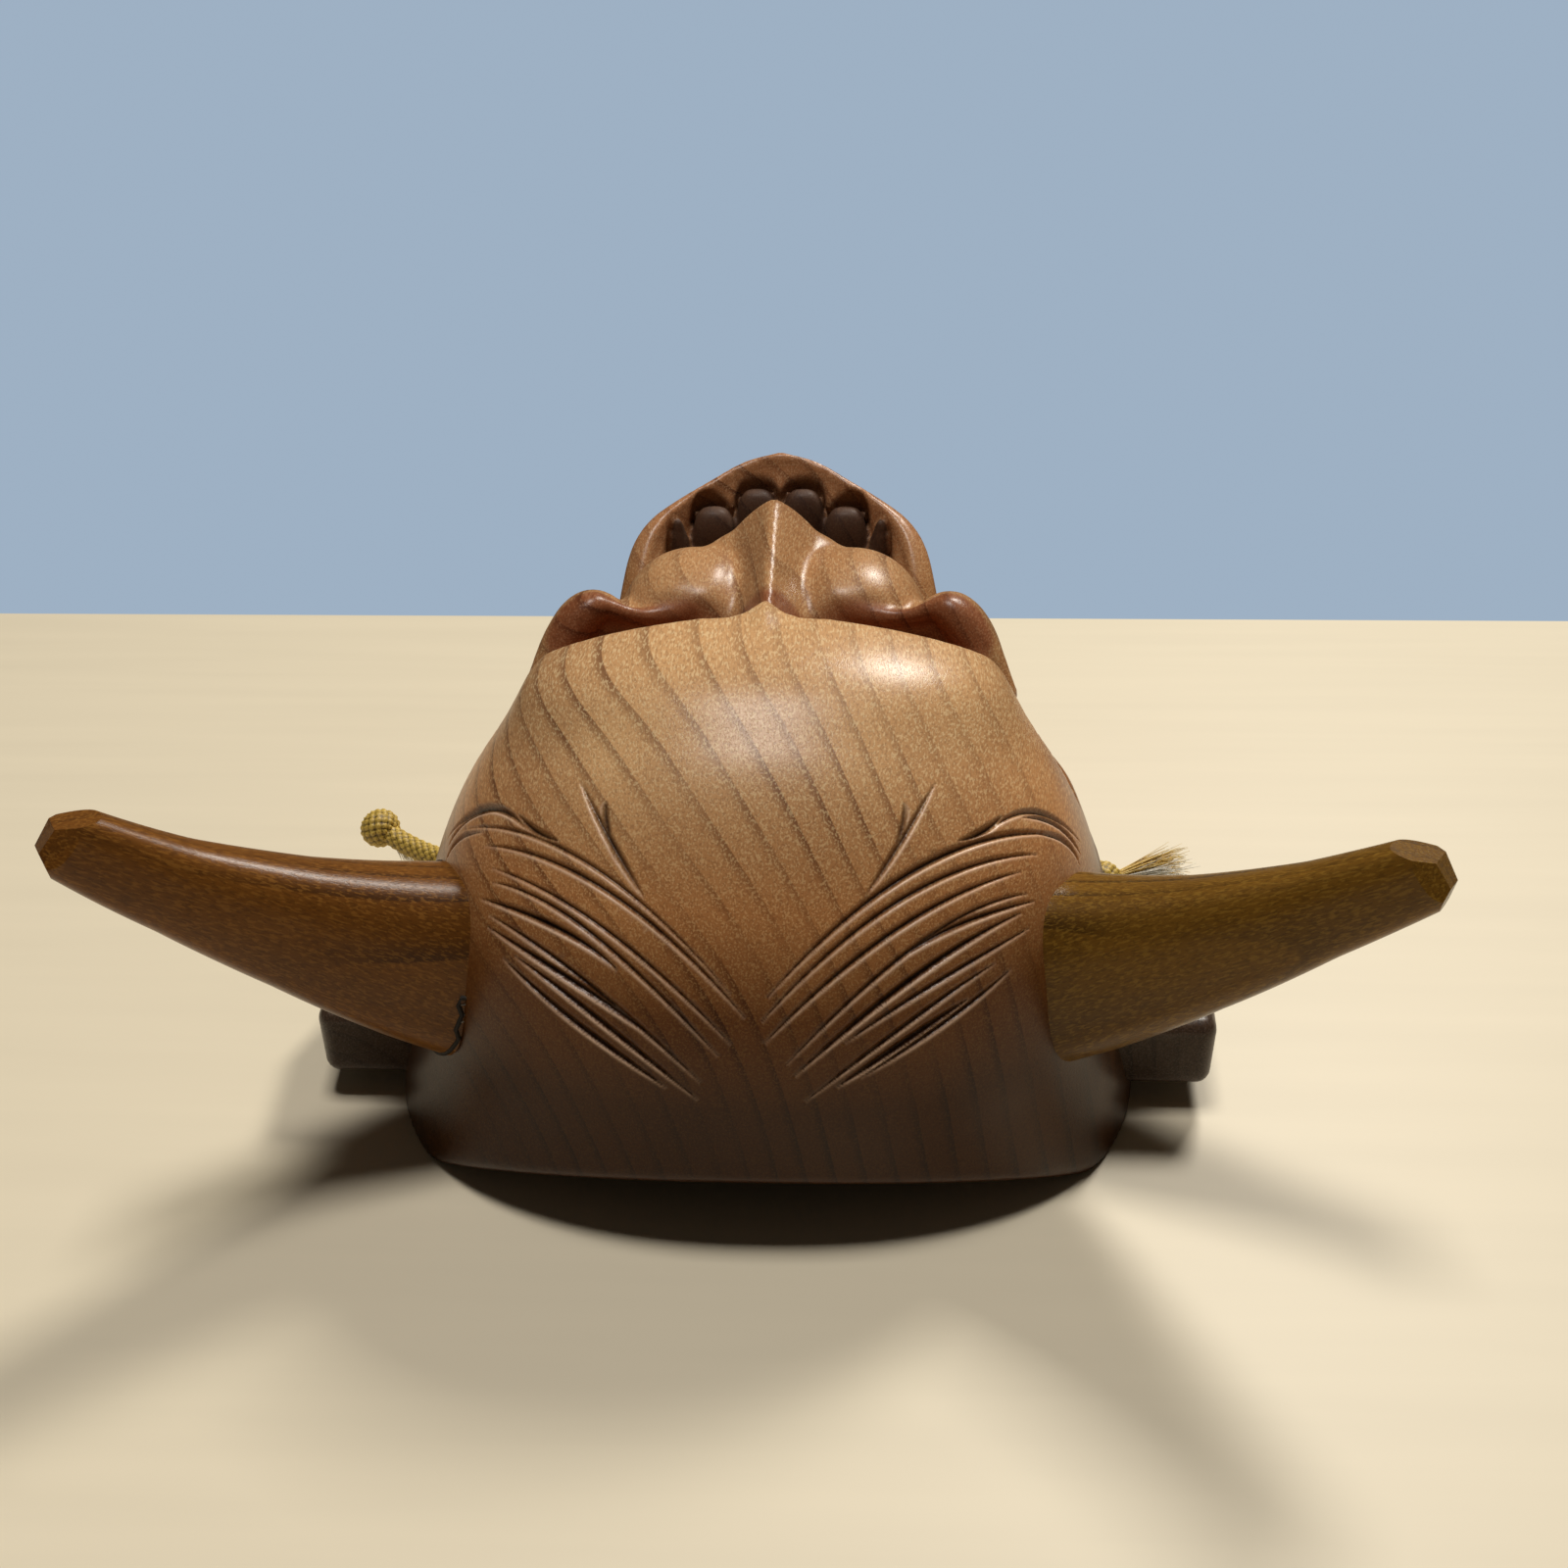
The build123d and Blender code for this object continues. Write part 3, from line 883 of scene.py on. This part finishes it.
def wisp(start, direction, reach, curl, droop, rng):
    """One loose strand: a thin tapering tube that curls a little."""
    bend = Vector((rng.uniform(-1, 1), rng.uniform(-1, 1), rng.uniform(-1, 1))) * curl * reach
    line = []
    for i in range(STRAND_RINGS):
        t = i / (STRAND_RINGS - 1)
        line.append(start + direction * reach * t + bend * t * t + Vector((0, 0, -droop * t * t)))
    points = []
    for i, (centre, frame_here) in enumerate(zip(line, frame_along(line))):
        radius = STRAND_RADIUS * (1 - 0.75 * i / (STRAND_RINGS - 1))
        points += round_ring(centre, frame_here, [radius] * STRAND_ROUND)
    return points, tube_faces(STRAND_RINGS, STRAND_ROUND)


def bundle(start, direction, reach, spread, count, curl, droop, seed):
    """Many strands that fan out round one direction and stay above the table."""
    rng = random.Random(seed)
    across = direction.orthogonal().normalized()
    up = direction.cross(across)
    points, faces = [], []
    for _ in range(count):
        angle = rng.uniform(0, 2 * math.pi)
        lean = spread * math.sqrt(rng.uniform(0, 1))
        side = across * math.cos(angle) + up * math.sin(angle)
        heading = (direction + side * lean).normalized()
        strand, strand_faces = wisp(
            start + side * rng.uniform(0, 0.9), heading, reach * rng.uniform(0.6, 1.0), curl, droop, rng
        )
        strand = [Vector((p.x, p.y, max(p.z, 0.4))) for p in strand]
        faces += [tuple(len(points) + i for i in face) for face in strand_faces]
        points += strand
    return points, faces


def frayed_tuft(name, side, material):
    """The gold strands past the knot, fanned out and drooping."""
    direction, reach = GOLD_TUFTS[name]
    start = KNOT_CENTRES[name] + direction * STRANDS_START
    points, faces = bundle(start, direction, reach - 4, 0.13, 220, curl=0.13, droop=3.5, seed=21 + side)
    piece = new_piece(f"tuft_{name}", points, faces, material, f"cord_end_{name}")
    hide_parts(f"frayed_tuft_{name}")


def cotton_core(name, side, material):
    """The pale core, loosened into fluff at its end."""
    direction, reach = COTTON_CORES[name]
    start = KNOT_CENTRES[name] + direction * STRANDS_START
    points, faces = bundle(start, direction, reach - 4, 0.12, 150, curl=0.22, droop=0.4, seed=31 + side)
    piece = new_piece(f"core_{name}", points, faces, material, f"cord_end_{name}")
    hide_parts(f"cord_core_{name}")


def hanging_cord(material):
    """The slack cord across the hollow, from one inner hole to the other."""
    left, right = (Vector((side * CORD_INNER_X, CORD_HOLE_Y, CORD_HOLE_Z)) for side in (LEFT, RIGHT))
    halfway = (left + right) / 2
    shape = braided_tube(bent_line(left, halfway + 2 * LOOP_DROP, right, 60), around=40, step=0.6)
    woven_piece("hanging_cord_braid", shape, material, "cord_loop", "hanging_cord")


# ---- materials -----------------------------------------------------------------------------------
WOOD_ROUGHNESS = 0.31
RING_SPACING = 0.0056
RING_WANDER = 0.014
PITH_BESIDE_MASK = (-0.10, -0.01)
# Painted shade at the bottoms of the hair grooves.
GROOVE_SHADE_COLOUR = (0.028, 0.012, 0.007)
# Painted shade in the mouth, throat and hollow.
RECESS_SHADE_COLOUR = (0.022, 0.010, 0.008)
# Painted highlight along the lower edge of each hair groove.
GROOVE_HIGHLIGHT_COLOUR = (0.92, 0.64, 0.44)


class Nodes:
    """Short names for building a node tree."""

    def __init__(self, name, roughness=0.4):
        self.material = bpy.data.materials.new(name)
        self.material.use_nodes = True
        self.tree = self.material.node_tree
        self.shader = self.tree.nodes["Principled BSDF"]
        self.shader.inputs["Roughness"].default_value = roughness

    def link(self, source, target):
        self.tree.links.new(source, target)

    def add(self, kind, **settings):
        node = self.tree.nodes.new(kind)
        for key, value in settings.items():
            setattr(node, key, value)
        return node

    def value(self, socket, source):
        if isinstance(source, (int, float, tuple)):
            socket.default_value = source
        else:
            self.link(source, socket)

    def math(self, operation, a, b=0.0, clamp=False):
        node = self.add("ShaderNodeMath", operation=operation, use_clamp=clamp)
        self.value(node.inputs[0], a)
        self.value(node.inputs[1], b)
        return node.outputs[0]

    def place(self):
        return self.add("ShaderNodeTexCoord").outputs["Object"]

    def scaled(self, vector, scale, rotation=(0, 0, 0)):
        node = self.add("ShaderNodeMapping")
        self.link(vector, node.inputs["Vector"])
        node.inputs["Scale"].default_value = scale
        node.inputs["Rotation"].default_value = rotation
        return node.outputs[0]

    def noise(self, vector, scale, detail):
        node = self.add("ShaderNodeTexNoise")
        self.link(vector, node.inputs["Vector"])
        node.inputs["Scale"].default_value = scale
        node.inputs["Detail"].default_value = detail
        return node.outputs["Fac"]

    def ramp(self, source, stops):
        """Colour stops (position, colour or grey)."""
        node = self.add("ShaderNodeValToRGB")
        while len(node.color_ramp.elements) < len(stops):
            node.color_ramp.elements.new(0.5)
        for element, (position, colour) in zip(node.color_ramp.elements, stops):
            element.position = position
            element.color = (*colour, 1) if isinstance(colour, tuple) else (colour, colour, colour, 1)
        self.link(source, node.inputs[0])
        return node.outputs[0]

    def mix(self, factor, a, b, blend="MIX"):
        node = self.add("ShaderNodeMix", data_type="RGBA", blend_type=blend)
        self.value(node.inputs[0], factor)
        self.value(node.inputs[6], (*a, 1) if isinstance(a, tuple) else a)
        self.value(node.inputs[7], (*b, 1) if isinstance(b, tuple) else b)
        return node.outputs[2]

    def attribute(self, name):
        return self.add("ShaderNodeAttribute", attribute_name=name).outputs["Fac"]

    def bump(self, height, strength):
        node = self.add("ShaderNodeBump")
        node.inputs["Strength"].default_value = strength
        node.inputs["Distance"].default_value = 0.0003
        self.link(height, node.inputs["Height"])
        self.link(node.outputs[0], self.shader.inputs["Normal"])


def growth_rings(n, place, pith):
    """Rings round the grain axis, with the pith at (x, z) outside the block; 0 to 1 across a ring."""
    parts = n.add("ShaderNodeSeparateXYZ")
    n.link(place, parts.inputs[0])
    x = n.math("SUBTRACT", parts.outputs[0], pith[0])
    z = n.math("SUBTRACT", parts.outputs[2], pith[1])
    radius = n.math("SQRT", n.math("ADD", n.math("MULTIPLY", x, x), n.math("MULTIPLY", z, z)))
    wander = n.noise(n.scaled(place, (1, 0.35, 1)), 14, 1)
    radius = n.math("ADD", radius, n.math("MULTIPLY", wander, RING_WANDER))
    return n.math("FRACT", n.math("DIVIDE", radius, RING_SPACING)), parts


def fleck_colour(pale):
    """Lighter and greyer than the pale wood."""
    return (min(1.0, pale[0] * 1.45), min(1.0, pale[1] * 1.7), min(1.0, pale[2] * 2.1))


def wood(name, pale, middle, dark, pith=PITH_BESIDE_MASK, flecks=1.0, grain=(0, 1, 0)):
    """Varnished hardwood: dark ring lines, short flecks and pores along the grain, slow colour drift."""
    n = Nodes(name, WOOD_ROUGHNESS)
    turn = Vector(grain).rotation_difference(Vector((0, 1, 0))).to_euler()
    place = n.scaled(n.place(), (1, 1, 1), rotation=turn)
    ring, parts = growth_rings(n, place, pith)
    line = n.ramp(ring, ((0.0, 0.0), (0.66, 0.10), (0.93, 1.0), (0.97, 1.0), (1.0, 0.0)))
    strength = n.ramp(n.noise(n.scaled(place, (1, 0.3, 1)), 40, 2), ((0.35, 0.15), (0.7, 1.0)))
    line = n.math("MULTIPLY", line, strength)
    drift = n.ramp(n.noise(n.scaled(place, (1.2, 0.4, 1)), 22, 3), ((0.3, 0.0), (0.72, 1.0)))
    colour = n.mix(drift, middle, pale)
    colour = n.mix(n.math("MULTIPLY", line, 0.9), colour, dark)
    pore = n.ramp(n.noise(n.scaled(place, (1, 0.2, 1)), 2600, 2), ((0.52, 0.0), (0.60, 1.0)))
    fleck = n.ramp(n.noise(n.scaled(place, (1, 0.2, 1)), 2500, 2), ((0.53, 0.0), (0.60, 1.0)))
    colour = n.mix(n.math("MULTIPLY", pore, 0.5 * flecks), colour, dark)
    colour = n.mix(n.math("MULTIPLY", fleck, 0.7 * flecks), colour, fleck_colour(pale))
    n.bump(n.math("SUBTRACT", 1.0, n.math("MULTIPLY", pore, 0.6)), 0.12)
    n.shader.inputs["Specular IOR Level"].default_value = 0.26
    n.shader.inputs["Coat Weight"].default_value = 0.04
    n.shader.inputs["Coat Roughness"].default_value = 0.3
    return n, colour, parts


def mask_wood():
    """Golden at the brow, brown on the dome and dark reddish toward the crown rim and in the face, partly
    painted shade; painted shade in the mouth, hollow, sockets and grooves.
    """
    n, colour, parts = wood("mask_wood", (0.78, 0.46, 0.21), (0.50, 0.26, 0.11), (0.19, 0.08, 0.035),
                           flecks=0.6)
    height = n.math("DIVIDE", parts.outputs[2], 0.1)
    # Darker toward the table, lighter toward the brow: partly the wood's own colour drift and partly
    # painted shade from the light above.
    low = n.ramp(height, (
        (0.0, (0.075, 0.040, 0.012)), (0.32, (0.10, 0.054, 0.018)), (0.50, (0.27, 0.17, 0.095)),
        (0.68, (0.92, 0.74, 0.60)), (0.88, (1.0, 1.0, 1.0)),
    ))
    # Past the crown the painted shade toward the table is held to a milder darkening.
    beyond = n.math("MULTIPLY", n.math("ADD", parts.outputs[1], 0.03), 16.0, clamp=True)
    low = n.mix(beyond, low, (0.46, 0.34, 0.24), "LIGHTEN")
    colour = n.mix(1.0, colour, low, "MULTIPLY")
    # Painted shade under the brow, tinted reddish, in the eye sockets.
    socket_shade = n.mix(1.0, colour, (0.58, 0.40, 0.38), "MULTIPLY")
    colour = n.mix(n.attribute("socket"), colour, socket_shade)
    for start, tint in ((-0.028, (0.76, 0.68, 0.64)), (0.040, (1.0, 0.90, 0.92))):
        past = n.math("MULTIPLY", n.math("SUBTRACT", parts.outputs[1], start), 60.0, clamp=True)
        colour = n.mix(past, colour, n.mix(1.0, colour, tint, "MULTIPLY"))
    duller = n.math("MULTIPLY", n.attribute("recess_shade"), 0.35)
    n.link(n.math("ADD", duller, WOOD_ROUGHNESS), n.shader.inputs["Roughness"])
    # Painted shade in the mouth, throat and hollow.
    colour = n.mix(n.math("MULTIPLY", n.attribute("recess_shade"), 0.86), colour, RECESS_SHADE_COLOUR)
    # Painted shade at the bottoms of the hair grooves.
    colour = n.mix(n.math("MULTIPLY", n.attribute("groove"), 0.95), colour, GROOVE_SHADE_COLOUR)
    # Painted highlight along the lower edge of each groove.
    colour = n.mix(n.math("MULTIPLY", n.attribute("groove_highlight"), 0.9), colour, GROOVE_HIGHLIGHT_COLOUR)
    n.link(colour, n.shader.inputs["Base Color"])
    return n.material


def plain_wood(name, pale, middle, dark, **more):
    n, colour, _parts = wood(name, pale, middle, dark, **more)
    n.link(colour, n.shader.inputs["Base Color"])
    return n.material


def thread_nodes(name, bright, deep, roughness=0.45):
    """Silky thread with fine fibres."""
    n = Nodes(name, roughness)
    place = n.place()
    fine = n.noise(place, 2600, 2)
    patch = n.noise(place, 320, 2)
    colour = n.mix(n.ramp(fine, ((0.35, 0.0), (0.65, 1.0))), deep, bright)
    colour = n.mix(n.ramp(patch, ((0.35, 0.0), (0.7, 0.5))), colour, deep)
    n.link(colour, n.shader.inputs["Base Color"])
    n.bump(fine, 0.35)
    return n, colour


def thread(name, bright, deep, roughness=0.45):
    n, _colour = thread_nodes(name, bright, deep, roughness)
    return n.material


def woven_gold():
    """Gold thread with painted shade in the gaps of the weave."""
    n, colour = thread_nodes("gold_cord", (0.84, 0.60, 0.13), (0.50, 0.32, 0.05))
    # Painted shade where the strands of the weave dip.
    gap = n.ramp(n.attribute("weave"), ((0.15, 1.0), (0.7, 0.0)))
    n.link(n.mix(gap, colour, (0.09, 0.05, 0.006)), n.shader.inputs["Base Color"])
    return n.material


# ---- stage ---------------------------------------------------------------------------------------
TABLE_END = 0.229
TABLE_REACH = 2.5
LIGHT_TARGET = (0, 0, 0.04)
WARM_GLOW = (1.0, 0.88, 0.72, 1)
PALE_BLUE = (0.36, 0.46, 0.58, 1)


def sheet(name, corners, material):
    mesh = bpy.data.meshes.new(name)
    mesh.from_pydata(corners, [], [(0, 1, 2, 3)])
    mesh.materials.append(material)
    piece = bpy.data.objects.new(name, mesh)
    bpy.context.scene.collection.objects.link(piece)


def plain(name, colour, roughness):
    """One colour with faint streaks along x."""
    n = Nodes(name, roughness)
    streaks = n.noise(n.scaled(n.place(), (1, 14, 1)), 6, 3)
    shade = n.ramp(streaks, ((0.3, 0.96), (0.7, 1.0)))
    n.link(n.mix(1.0, colour, shade, "MULTIPLY"), n.shader.inputs["Base Color"])
    return n.material


def area_light(place, size, power, colour, shine):
    lamp = bpy.data.lights.new("soft", "AREA")
    lamp.size = size
    lamp.energy = power
    lamp.color = colour
    lamp.specular_factor = shine
    holder = bpy.data.objects.new("soft", lamp)
    bpy.context.scene.collection.objects.link(holder)
    holder.location = place
    holder.rotation_mode = "QUATERNION"
    holder.rotation_quaternion = (Vector(LIGHT_TARGET) - Vector(place)).to_track_quat("-Z", "Y")


def backdrop():
    """A pale blue backdrop for the camera, with only a faint glow on the object."""
    world = bpy.data.worlds.new("studio")
    bpy.context.scene.world = world
    world.use_nodes = True
    tree = world.node_tree
    glow = tree.nodes["Background"]
    glow.inputs["Color"].default_value = WARM_GLOW
    glow.inputs["Strength"].default_value = 0.03
    paper = tree.nodes.new("ShaderNodeBackground")
    paper.inputs["Color"].default_value = PALE_BLUE
    paper.inputs["Strength"].default_value = 0.95
    seen = tree.nodes.new("ShaderNodeLightPath")
    either = tree.nodes.new("ShaderNodeMixShader")
    tree.links.new(seen.outputs["Is Camera Ray"], either.inputs[0])
    tree.links.new(glow.outputs[0], either.inputs[1])
    tree.links.new(paper.outputs[0], either.inputs[2])
    tree.links.new(either.outputs[0], tree.nodes["World Output"].inputs["Surface"])


def stage_and_lights():
    """A pale table top, a soft light overhead and a larger one behind on the right."""
    near, far, reach = -TABLE_REACH, TABLE_END, TABLE_REACH
    corners = [(-reach, near, 0), (reach, near, 0), (reach, far, 0), (-reach, far, 0)]
    sheet("floor", corners, plain("table_top", (0.84, 0.75, 0.56), 0.5))
    area_light((-0.06, 0.0, 1.5), 0.36, 11.6, (1.0, 0.96, 0.92), shine=0.4)
    area_light((0.66, 1.21, 1.56), 0.42, 25, (1.0, 0.95, 0.87), shine=0.08)
    backdrop()
    bpy.context.scene.view_settings.view_transform = "Standard"


def photo_camera():
    """Low over the crown, looking along the face."""
    lens = bpy.data.cameras.new("camera")
    lens.sensor_width = 36
    lens.lens = 36 * 1450 / 1600
    holder = bpy.data.objects.new("camera", lens)
    bpy.context.scene.collection.objects.link(holder)
    down = math.radians(28)
    turn = math.radians(-2.0)
    ahead = Vector((math.sin(turn) * math.cos(down), math.cos(turn) * math.cos(down), -math.sin(down)))
    look = ahead.to_track_quat("-Z", "Y").to_matrix().to_4x4()
    holder.matrix_world = look @ Matrix.Rotation(math.radians(-0.45), 4, "Z")
    holder.location = (0.0135, -0.309, 0.210)
    bpy.context.scene.camera = holder


# ---- build ---------------------------------------------------------------------------------------
def repaint(node, material):
    """Give a CAD node that keeps its shape its final material."""
    for place in frame["nodes"][node].material_slots:
        place.material = material


gold = woven_gold()
strands = thread("gold_strands", (0.88, 0.66, 0.22), (0.66, 0.44, 0.10))
cotton = thread("cotton_core", (0.92, 0.90, 0.82), (0.70, 0.66, 0.55), roughness=0.8)
# Wood much darker than the mask's: painted shade for the ears, which sit low between the horns and the
# table.
shaded_ear_material = plain_wood("ear_wood", (0.075, 0.045, 0.028), (0.045, 0.026, 0.016), (0.016, 0.009, 0.006))
seam_dark = plain("seam", (0.012, 0.007, 0.004), 0.7)
glue_pale = plain("dried_glue", (0.42, 0.38, 0.33), 0.35)
dowel_material = plain_wood("dowel_wood", (0.62, 0.45, 0.26), (0.52, 0.36, 0.20), (0.36, 0.22, 0.11))
horn_materials = {
    "left": plain_wood(
        "horn_wood_left", (0.25, 0.094, 0.014), (0.10, 0.035, 0.006), (0.032, 0.012, 0.004),
        pith=(0.03, -0.05), flecks=0.6, grain=(-0.72, -0.36, 0.55),
    ),
    "right": plain_wood(
        "horn_wood_right", (0.23, 0.108, 0.013), (0.085, 0.037, 0.005), (0.030, 0.013, 0.003),
        pith=(-0.03, -0.05), flecks=0.6, grain=(0.72, -0.36, 0.55),
    ),
}

carved_mask(mask_wood())
hanging_cord(gold)
for name, side in SIDES.items():
    horn(name, side, horn_materials[name])
    ear(name, side, shaded_ear_material)
    cord_drop(name, side, gold)
    stopper_knot(name, gold)
    frayed_tuft(name, side, strands)
    cotton_core(name, side, cotton)
    horn_joint(name, side, seam_dark, glue_pale)
    repaint(f"horn_dowel_{name}", dowel_material)
    repaint(f"ear_dowels_{name}", dowel_material)
    repaint(f"cord_through_{name}", gold)

stage_and_lights()
photo_camera()
